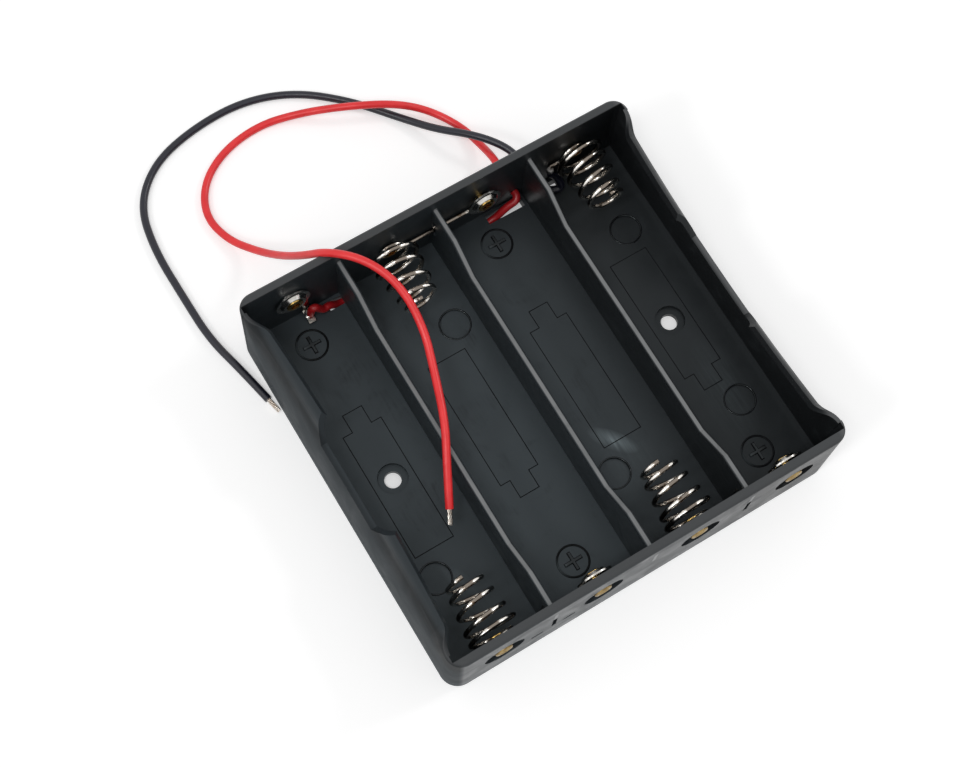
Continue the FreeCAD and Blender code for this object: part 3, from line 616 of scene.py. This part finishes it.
class WireSweep:
    """Geometry Nodes tree that turns a centre line into round wire."""

    def __init__(self, name: str, material: bpy.types.Material) -> None:
        """Build the tree.

        Args:
            name: name of the tree.
            material: finish of the wire.
        """
        self.tree = bpy.data.node_groups.new(name, "GeometryNodeTree")
        graph = NodeGraph(self.tree)
        face = self.tree.interface
        face.new_socket(name="Geometry", in_out="INPUT", socket_type="NodeSocketGeometry")
        self.radius = face.new_socket(name="Wire Radius", in_out="INPUT",
                                      socket_type="NodeSocketFloat").identifier
        self.sides = face.new_socket(name="Wire Sides", in_out="INPUT",
                                     socket_type="NodeSocketInt").identifier
        face.new_socket(name="Geometry", in_out="OUTPUT", socket_type="NodeSocketGeometry")
        source = graph.add("NodeGroupInput")
        ring = graph.add("GeometryNodeCurvePrimitiveCircle", Resolution=source.outputs["Wire Sides"],
                         Radius=source.outputs["Wire Radius"])
        swept = graph.add("GeometryNodeCurveToMesh", Curve=source.outputs["Geometry"],
                          Profile_Curve=ring.outputs["Curve"], Fill_Caps=True)
        smooth = graph.add("GeometryNodeSetShadeSmooth", Geometry=swept.outputs["Mesh"])
        real = graph.add("GeometryNodeRealizeInstances", Geometry=smooth.outputs[0])
        painted = graph.add("GeometryNodeSetMaterial", Geometry=real.outputs["Geometry"],
                            Material=material)
        graph.add("NodeGroupOutput", Geometry=painted.outputs["Geometry"])

    def wires(self, name: str, lines: Sequence[Sequence[Vector]], radius: float, sides: int,
              closed: bool = False) -> bpy.types.Object:
        """Sweep one or more wires and return them as one plain mesh.

        Args:
            name: name of the piece.
            lines: centre line of each wire in the frame.
            radius: radius of the wires.
            sides: sides of their section.
            closed: whether each line runs back to its start.

        Returns:
            The finished object at the origin.
        """
        curve = bpy.data.curves.new(f"{name}_line", "CURVE")
        curve.dimensions = "3D"
        for points in lines:
            spline = curve.splines.new("POLY")
            spline.points.add(len(points) - 1)
            spline.use_cyclic_u = closed
            for knot, point in zip(spline.points, points):
                knot.co = (*point, 1.0)
        line = add_object(f"{name}_line", curve)
        modifier = line.modifiers.new("sweep", "NODES")
        modifier.node_group = self.tree
        modifier[self.radius] = radius
        modifier[self.sides] = sides
        return plain_mesh(name, line)


def plain_mesh(name: str, source: bpy.types.Object) -> bpy.types.Object:
    """Turn an object with modifiers into a plain mesh piece and remove it.

    Args:
        name: name of the new piece.
        source: the object to convert.

    Returns:
        The new object, with its place in its mesh.
    """
    graph = bpy.context.evaluated_depsgraph_get()
    evaluated = source.evaluated_get(graph)
    mesh = bpy.data.meshes.new_from_object(evaluated, depsgraph=graph)
    mesh.name = name
    bpy.data.objects.remove(source)
    face_outwards(mesh)
    return add_object(name, mesh)


def face_outwards(mesh: bpy.types.Mesh) -> None:
    """Merge doubles and point the faces of a closed mesh outwards."""
    work = bmesh.new()
    work.from_mesh(mesh)
    bmesh.ops.remove_doubles(work, verts=work.verts, dist=1e-7)
    bmesh.ops.recalc_face_normals(work, faces=work.faces)
    work.to_mesh(mesh)
    work.free()


def dress(node: bpy.types.Object, material: bpy.types.Material) -> None:
    """Give a carried-over node one finish."""
    node.data.materials.clear()
    node.data.materials.append(material)


@dataclass(frozen=True)
class SlotPlace:
    """Where one slot's contacts are, read from the frame."""

    number: int
    x: float
    contact_z: float
    inner_y: float

    @property
    def plus_wall(self) -> Wall:
        """Wall that carries the plus cup."""
        return Wall.FAR if self.number % 2 else Wall.NEAR

    @property
    def spring_wall(self) -> Wall:
        """Wall that carries the spring."""
        return Wall.NEAR if self.number % 2 else Wall.FAR

    def from_wall(self, wall: Wall, x: float, y: float, z: float) -> Vector:
        """Point given from a contact's centre on the inner face of a wall.

        Args:
            wall: the wall.
            x: distance across, to the left of someone in the slot who faces the wall.
            y: distance from the wall into the slot.
            z: height above the contact's axis.

        Returns:
            The point in the frame.
        """
        side = wall.value
        return Vector((self.x - side * x, side * (self.inner_y - y), self.contact_z + z))


def slot_places() -> list[SlotPlace]:
    """Read the places of the four slots from the frame."""
    low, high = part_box("tray")
    inner = (high.y - low.y) / 2 - END_WALL
    places = []
    for number in SLOTS:
        first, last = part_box(f"plus_eyelet_{number}")
        middle = (first + last) / 2
        places.append(SlotPlace(number, middle.x, middle.z, inner))
    return places


@dataclass
class Tray:
    """The black moulding."""

    palette: Palette

    def dress(self) -> None:
        """Give the moulding its finish."""
        dress(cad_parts["tray"], self.palette.plastic)


@dataclass
class FloorMarks:
    """Fine moulded forms on the floors: cell outlines, pad rims, and discs with plus signs; the
    outlines and disc rings are near-black lines of painted groove shade.
    """

    palette: Palette
    places: list[SlotPlace]
    floor_top: float = 0.0022
    line_radius: float = 0.00015
    line_sink: float = 0.00007
    line_sides: int = 8
    cell_half: float = 0.0040
    nub_half: float = 0.0020
    cell_foot: float = -0.0148
    cell_head: float = 0.0112
    nub_head: float = 0.0149
    disc_radius: float = 0.00295
    disc_middle: float = 0.02975
    disc_line_radius: float = 0.00024
    ring_steps: int = 48
    pad_radius: float = 0.003
    pad_line_radius: float = 0.00017
    pad_line_sides: int = 16
    pad_middle: float = 0.0198
    pad_offsets: tuple[tuple[int, float, int], ...] = (
        (1, -0.0027, -1), (2, 0.0049, 1), (3, -0.0049, -1), (4, 0.0027, 1), (4, 0.0027, -1))
    sign_arm: float = 0.0019
    sign_half: float = 0.00042
    sign_height: float = 0.00026
    sign_slope: float = 0.00020

    def build(self) -> list[bpy.types.Object]:
        """Make the pad rims, the outlines, the discs and the signs."""
        sweep = WireSweep("groove_shadow_sweep", self.palette.groove_shade)
        outlines = [self.cell_outline(place) for place in self.places]
        rings = [self.ring(place.x, self.sign_y(place), self.disc_radius) for place in self.places]
        rims = [self.ring(self.places[slot - 1].x + offset, side * self.pad_middle, self.pad_radius)
                for slot, offset, side in self.pad_offsets]
        polished = WireSweep("pad_rim_sweep", self.palette.rim)
        pieces = [
            polished.wires("pad_rims", rims, self.pad_line_radius, self.pad_line_sides, closed=True),
            sweep.wires("cell_outlines", outlines, self.line_radius, self.line_sides, closed=True),
            sweep.wires("sign_rings", rings, self.disc_line_radius, self.line_sides, closed=True),
            self.signs(),
        ]
        for piece in pieces:
            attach(piece, "holder")
        return pieces

    def cell_outline(self, place: SlotPlace) -> list[Vector]:
        """Outline of a cell whose nub points to the plus contact."""
        side = place.plus_wall.value
        corners = [
            (-self.cell_half, self.cell_foot), (self.cell_half, self.cell_foot),
            (self.cell_half, self.cell_head), (self.nub_half, self.cell_head),
            (self.nub_half, self.nub_head), (-self.nub_half, self.nub_head),
            (-self.nub_half, self.cell_head), (-self.cell_half, self.cell_head),
        ]
        height = self.floor_top - self.line_sink
        return [Vector((place.x + x, side * y, height)) for x, y in corners]

    def ring(self, x: float, y: float, radius: float) -> list[Vector]:
        """Circle on the floor.

        Args:
            x: middle of the circle across the slots.
            y: middle of the circle along the slots.
            radius: radius of the circle.

        Returns:
            Points round the circle.
        """
        height = self.floor_top - self.line_sink
        return [Vector((x + a, y + b, height)) for a, b in circle(radius, self.ring_steps)]

    def sign_y(self, place: SlotPlace) -> float:
        """Y of the middle of a slot's sign."""
        return place.plus_wall.value * self.disc_middle

    def signs(self) -> bpy.types.Object:
        """The four raised plus signs as one piece."""
        work = bmesh.new()
        for place in self.places:
            self.add_sign(work, place.x, self.sign_y(place))
        mesh = bpy.data.meshes.new("plus_signs")
        bmesh.ops.recalc_face_normals(work, faces=work.faces)
        work.to_mesh(mesh)
        work.free()
        mesh.materials.append(self.palette.rim)
        return add_object("plus_signs", mesh)

    def add_sign(self, work: bmesh.types.BMesh, x: float, y: float) -> None:
        """Add one plus sign with sloped sides.

        Args:
            work: the mesh to add to.
            x: middle of the sign across the slots.
            y: middle of the sign along the slots.
        """
        low = self.floor_top - self.line_sink
        high = self.floor_top + self.sign_height
        rings = []
        for height, inset in ((low, 0.0), (high, self.sign_slope)):
            arm = self.sign_arm - inset
            half = self.sign_half - inset
            corners = [
                (-half, -arm), (half, -arm), (half, -half), (arm, -half),
                (arm, half), (half, half), (half, arm), (-half, arm),
                (-half, half), (-arm, half), (-arm, -half), (-half, -half),
            ]
            rings.append([work.verts.new((x + a, y + b, height)) for a, b in corners])
        count = len(rings[0])
        for index in range(count):
            after = (index + 1) % count
            work.faces.new((rings[0][index], rings[0][after], rings[1][after], rings[1][index]))
        for ring in rings:
            work.faces.new(ring)


@dataclass
class Contacts:
    """Cups, rivets, tab and solder on the end walls."""

    palette: Palette
    places: list[SlotPlace]
    curl_radius: float = 0.00140
    curl_half: float = 0.00036
    curl_depth: float = 0.00062
    curl_steps: int = 40
    curl_sides: int = 14

    def dress(self) -> None:
        """Give each contact piece its metal."""
        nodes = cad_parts
        for place in self.places:
            dress(nodes[f"plus_cup_{place.number}"], self.palette.nickel)
            dress(nodes[f"plus_eyelet_{place.number}"], self.palette.brass)
            dress(nodes[f"spring_eyelet_{place.number}"], self.palette.brass)
        dress(nodes["plus_tab"], self.palette.nickel)
        dress(nodes["plus_solder"], self.palette.solder)
        dress(nodes["minus_solder"], self.palette.solder)

    def rivet_curls(self) -> bpy.types.Object:
        """Rolled ends of the eight rivets, in the recesses outside."""
        rightward_share = self.curl_depth - END_WALL
        ring = circle(self.curl_radius, self.curl_steps)
        lines = [[place.from_wall(wall, x, rightward_share, z) for x, z in ring]
                 for place in self.places for wall in Wall]
        # The curls take the darker brass: painted shade in the recesses.
        sweep = WireSweep("rivet_curl_sweep", self.palette.recess_shaded_brass)
        piece = sweep.wires("rivet_curls", lines, self.curl_half, self.curl_sides, closed=True)
        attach(piece, "holder")
        return piece


@dataclass
class Springs:
    """Conical coil springs, each with a tail that runs to the next contact."""

    palette: Palette
    places: list[SlotPlace]
    wire_radius: float = 0.00045
    wire_sides: int = 16
    steps_per_turn: int = 32
    wall_gap: float = 0.0005
    loop_radius: float = 0.00175
    base_radius: float = 0.0049
    tip_radius: float = 0.0030
    start_share: float = 0.9
    first_height: float = 0.0015
    length: float = 0.013
    loop_turns: float = 0.5
    rise_turns: float = 0.5
    turns: float = 4.5
    closure: float = 0.35
    terminal_tail: float = 0.0053
    left_hand_slot: int = 2

    def coil_point(self, turn: float, hand: int) -> Vector:
        """Point of the coil, from the loop round the rivet to the tip.

        Args:
            turn: turns from the bottom of the loop.
            hand: 1 or -1 for the sense of the winding.

        Returns:
            The point from the contact's centre on the wall.
        """
        start = self.start_share * self.base_radius
        last = self.length - self.wire_radius
        past = turn - self.loop_turns - self.rise_turns
        if turn <= self.loop_turns:
            radius, height = self.loop_radius, self.wall_gap
        elif past <= 0.0:
            share = ease((turn - self.loop_turns) / self.rise_turns)
            radius = blend(self.loop_radius, start, share)
            height = blend(self.wall_gap, self.first_height, share)
        else:
            share = past / self.turns
            opening = min(1.0, past / self.rise_turns)
            radius = blend(self.base_radius, self.tip_radius, share)
            radius = blend(start, radius, opening)
            wave = self.closure * math.sin(FULL_TURN * share) / FULL_TURN
            height = blend(self.first_height, last, share - wave)
        angle = FULL_TURN * turn
        return Vector((-hand * radius * math.sin(angle), height, -radius * math.cos(angle)))

    def tail_points(self, place: SlotPlace, hand: int) -> list[Vector]:
        """Points of the tail, from its far end to the spring's own loop.

        Args:
            place: the slot.
            hand: side that the tail runs to.

        Returns:
            Points from the contact's centre on the wall.
        """
        if place.number == SLOTS[-1]:
            return [Vector((hand * self.terminal_tail, self.wall_gap, -self.loop_radius))]
        points = []
        steps = self.steps_per_turn // 2
        for step in range(steps + 1):
            angle = math.pi * (1 - step / steps)
            x = SLOT_PITCH + self.loop_radius * math.sin(angle)
            points.append(Vector((hand * x, self.wall_gap, -self.loop_radius * math.cos(angle))))
        return points

    def build(self) -> list[bpy.types.Object]:
        """Make the four springs in place of the plain ones."""
        sweep = WireSweep("spring_sweep", self.palette.spring)
        pieces = []
        count = int((self.loop_turns + self.rise_turns + self.turns) * self.steps_per_turn)
        for place in self.places:
            hand = -1 if place.number == self.left_hand_slot else 1
            local = self.tail_points(place, hand)
            local += [self.coil_point(step / self.steps_per_turn, hand) for step in range(count + 1)]
            points = [place.from_wall(place.spring_wall, *point) for point in local]
            piece = sweep.wires(f"coil_spring_{place.number}", [points], self.wire_radius,
                                self.wire_sides)
            self.mount(piece, place)
            pieces.append(piece)
        return pieces

    def mount(self, piece: bpy.types.Object, place: SlotPlace) -> None:
        """Tie a spring to its body and hide the plain spring that it replaces.

        Args:
            piece: the spring.
            place: its slot.
        """
        number = place.number
        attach(piece, f"coil_{number}")
        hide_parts(f"spring_{number}")
        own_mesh(piece)


def blend(first: float, second: float, share: float) -> float:
    """Value between two others."""
    return first + (second - first) * share


def ease(share: float) -> float:
    """Smooth step from 0 to 1."""
    return share * share * (3 - 2 * share)


@dataclass
class Leads:
    """The two leads: their inner runs, their free cords and their bare ends.

    The routes are the cords' control points in millimetres, from the wall to the bare end.
    """

    palette: Palette
    diameter: float = 0.0015
    outer_strands: int = 6
    strand_radius: float = 0.00015
    strand_sides: int = 10
    strand_steps: int = 14
    strand_turns: float = 0.4
    strand_splay: float = 0.35
    splay_from: float = 0.5
    splay_middle: float = 0.6
    strand_kinds: int = 3
    raggedness: float = 0.05
    tip_length: float = 0.003
    bevel_steps: int = 5
    line_steps: int = 16

    ROUTES: ClassVar[dict[Lead, tuple[Point, ...]]] = {
        Lead.RED: (
            (17.8, 38.5, 5.0), (18.2, 43.4, 5.0), (18.4, 48.8, 1.8), (17.2, 55.2, 0.8),
            (13.0, 61.4, 1.5), (7.0, 64.8, 4.0), (-1.6, 68.8, 4.1), (-8.4, 72.8, 1.4),
            (-16.6, 74.9, 0.8), (-25.2, 73.5, 0.82), (-31.8, 69.4, 0.8), (-34.9, 63.2, 0.8),
            (-33.6, 56.8, 1.0), (-30.4, 51.4, 3.0), (-27.8, 46.2, 8.2), (-25.2, 41.2, 15.6),
            (-21.6, 37.2, 21.9), (-16.8, 31.8, 23.4), (-13.8, 25.0, 22.0), (-13.8, 17.0, 19.0),
            (-16.2, 9.2, 17.2), (-19.0, 1.0, 16.8), (-22.6, -5.8, 15.0), (-25.6, -11.8, 11.4),
        ),
        Lead.BLACK: (
            (22.6, 38.5, 5.0), (22.2, 42.6, 5.2), (20.3, 46.4, 5.6), (16.8, 50.8, 5.2),
            (12.2, 56.2, 2.6), (7.8, 62.6, 0.8), (1.4, 70.4, 0.82), (-7.2, 77.6, 0.8),
            (-17.2, 81.0, 0.82), (-28.2, 80.6, 0.8), (-38.0, 77.8, 0.82), (-44.6, 71.4, 0.8),
            (-46.5, 61.8, 0.82), (-46.3, 50.4, 0.8), (-46.0, 40.8, 0.82), (-43.8, 32.2, 0.8),
            (-42.3, 25.0, 0.8),
        ),
    }
    LENGTHS: ClassVar[dict[Lead, float]] = {Lead.RED: 0.1757, Lead.BLACK: 0.1371}

    def build(self) -> list[bpy.types.Object]:
        """Make both leads."""
        pieces = []
        sweep = WireSweep("strand_sweep", self.palette.tinned)
        for lead in Lead:
            # The inner red run gets the darker copy of the red insulation: painted shade.
            inner = self.palette.red_shaded if lead is Lead.RED else self.palette.black
            dress(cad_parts[f"{lead.value}_lead_inner"], inner)
            tip = self.strands(lead, sweep)
            pieces += [tip, self.free_cord(lead)]
        return pieces

    def strands(self, lead: Lead, sweep: WireSweep) -> bpy.types.Object:
        """Bare twisted strands at a lead's end.

        Args:
            lead: which lead.
            sweep: the tree that makes their wires.

        Returns:
            The strands as one piece.
        """
        end = mm(*self.ROUTES[lead][-1])
        heading = (end - mm(*self.ROUTES[lead][-2])).normalized()
        side = heading.cross(Vector((0, 0, 1))).normalized()
        up = side.cross(heading)
        lines = [[end - heading * self.strand_radius, end + heading * self.tip_length]]
        for number in range(self.outer_strands):
            kind = number % self.strand_kinds
            long = self.tip_length * (1 - self.raggedness * kind)
            line = []
            for step in range(self.strand_steps + 1):
                share = step / self.strand_steps
                angle = FULL_TURN * (number / self.outer_strands + self.strand_turns * share)
                splay = self.strand_splay * max(0.0, share - self.splay_from)
                reach = 2 * self.strand_radius * (1 + splay * (kind - self.splay_middle))
                line.append(end + heading * (long * share) + side * (reach * math.cos(angle))
                            + up * (reach * math.sin(angle)))
            lines.append(line)
        piece = sweep.wires(f"{lead.value}_strands", lines, self.strand_radius, self.strand_sides)
        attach(piece, "holder")
        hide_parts(f"{lead.value}_lead_tip")
        return piece

    def free_cord(self, lead: Lead) -> bpy.types.Object:
        """Free run of one lead as a smooth round cord.

        Args:
            lead: which lead.

        Returns:
            The cord.
        """
        curve = bpy.data.curves.new(f"{lead.value}_cord", "CURVE")
        curve.dimensions = "3D"
        curve.resolution_u = self.line_steps
        curve.bevel_depth = self.diameter / 2
        curve.bevel_resolution = self.bevel_steps
        curve.use_fill_caps = True
        spline = curve.splines.new("NURBS")
        route = self.ROUTES[lead]
        spline.points.add(len(route) - 1)
        for knot, point in zip(spline.points, route):
            knot.co = (*mm(*point), 1.0)
        spline.order_u = 3
        spline.use_endpoint_u = True
        cord = add_object(f"{lead.value}_cord", curve)
        curve.materials.append(self.palette.insulation(lead))
        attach(cord, "holder")
        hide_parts(f"{lead.value}_lead")
        return cord


@dataclass
class PhotoCamera:
    """Camera at the photograph's viewing angle."""

    azimuth: float = -38.815
    elevation: float = 72.295
    distance: float = 0.31227
    target: Point = (-0.006813, 0.007931, 0.0)
    roll: float = 7.992
    lens: float = 62.568
    sensor: float = 36.0
    nearest: float = 0.01
    farthest: float = 20.0

    def build(self) -> bpy.types.Object:
        """Place the camera."""
        azimuth = math.radians(self.azimuth)
        elevation = math.radians(self.elevation)
        roll = math.radians(self.roll)
        level = math.cos(elevation)
        back = Vector((math.sin(azimuth) * level, -math.cos(azimuth) * level, math.sin(elevation)))
        right = Vector((0, 0, 1)).cross(back).normalized()
        up = back.cross(right)
        across = right * math.cos(roll) + up * math.sin(roll)
        upright = up * math.cos(roll) - right * math.sin(roll)
        data = bpy.data.cameras.new("camera")
        data.sensor_width = self.sensor
        data.lens = self.lens
        data.clip_start = self.nearest
        data.clip_end = self.farthest
        camera = add_object("camera", data)
        turn = Matrix((across, upright, back)).transposed().to_4x4()
        camera.matrix_world = Matrix.Translation(Vector(self.target) + back * self.distance) @ turn
        bpy.context.scene.camera = camera
        return camera


@dataclass(frozen=True)
class Lamp:
    """Square soft lamp aimed at the holder, its power in watts."""

    name: str
    place: Point
    power: float
    size: float

    def hang(self) -> None:
        """Put the lamp into the scene."""
        data = bpy.data.lights.new(self.name, "AREA")
        data.energy = self.power
        data.shape = "SQUARE"
        data.size = self.size
        lamp = add_object(self.name, data)
        lamp.location = self.place
        lamp.rotation_mode = "QUATERNION"
        lamp.rotation_quaternion = Vector(self.place).to_track_quat("Z", "Y")


@dataclass
class Studio:
    """White floor, even sky and three soft lamps."""

    floor_half: float = 3.0
    floor_albedo: float = 0.85
    floor_lift: float = 0.36
    sky: float = 0.52
    lamps: tuple[Lamp, ...] = (
        Lamp("key", (0.70, -0.06, 0.64), 1.1, 0.16),
        Lamp("fill", (-0.65, -0.08, 0.68), 1.1, 0.16),
        Lamp("top", (-0.30, -0.12, 0.85), 1.3, 0.20),
    )

    def build(self) -> None:
        """Make the floor, the sky and the lamps."""
        self.floor()
        self.world()
        for lamp in self.lamps:
            lamp.hang()

    def seen_directly(self, graph: NodeGraph) -> object:
        """Socket that is 1 for camera, glossy and transmission rays."""
        path = graph.add("ShaderNodeLightPath")
        either = graph.math("MAXIMUM", path.outputs["Is Camera Ray"], path.outputs["Is Glossy Ray"])
        return graph.math("MAXIMUM", either, path.outputs["Is Transmission Ray"])

    def floor(self) -> None:
        """Wide white floor that keeps the shadow."""
        half = self.floor_half
        mesh = bpy.data.meshes.new("floor")
        corners = [(-half, -half, 0), (half, -half, 0), (half, half, 0), (-half, half, 0)]
        mesh.from_pydata(corners, [], [(0, 1, 2, 3)])
        floor = add_object("floor", mesh)
        material = bpy.data.materials.new("floor_white")
        material.use_nodes = True
        graph = NodeGraph(material.node_tree)
        white = (self.floor_albedo,) * 3 + (1.0,)
        matt = graph.add("ShaderNodeBsdfDiffuse", Color=white)
        lift = graph.math("MULTIPLY", self.seen_directly(graph), self.floor_lift)
        glow = graph.add("ShaderNodeEmission", Color=(1, 1, 1, 1), Strength=lift)
        both = graph.add("ShaderNodeAddShader")
        graph.feed(both, 0, matt.outputs[0])
        graph.feed(both, 1, glow.outputs[0])
        graph.add("ShaderNodeOutputMaterial", Surface=both.outputs[0])
        mesh.materials.append(material)

    def world(self) -> None:
        """Even sky, white where it is seen."""
        world = bpy.data.worlds.new("sky")
        world.use_nodes = True
        bpy.context.scene.world = world
        graph = NodeGraph(world.node_tree)
        strength = graph.ranged(self.seen_directly(graph), 0.0, 1.0, self.sky)
        sky = graph.add("ShaderNodeBackground", Color=(1, 1, 1, 1), Strength=strength)
        graph.add("ShaderNodeOutputWorld", Surface=sky.outputs[0])


def main() -> None:
    """Build the whole scene."""
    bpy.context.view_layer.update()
    PhotoCamera().build()
    Studio().build()
    palette = Palette()
    places = slot_places()
    leads = Leads(palette).build()
    Tray(palette).dress()
    contacts = Contacts(palette, places)
    contacts.dress()
    curls = contacts.rivet_curls()
    marks = FloorMarks(palette, places).build()
    springs = Springs(palette, places).build()
    for piece in [curls] + leads + marks + springs:
        LOG.info("made %s", piece.name)
    bpy.context.scene.view_settings.view_transform = "Standard"


if __name__ == "__main__":
    logging.basicConfig(level=logging.INFO)
    main()
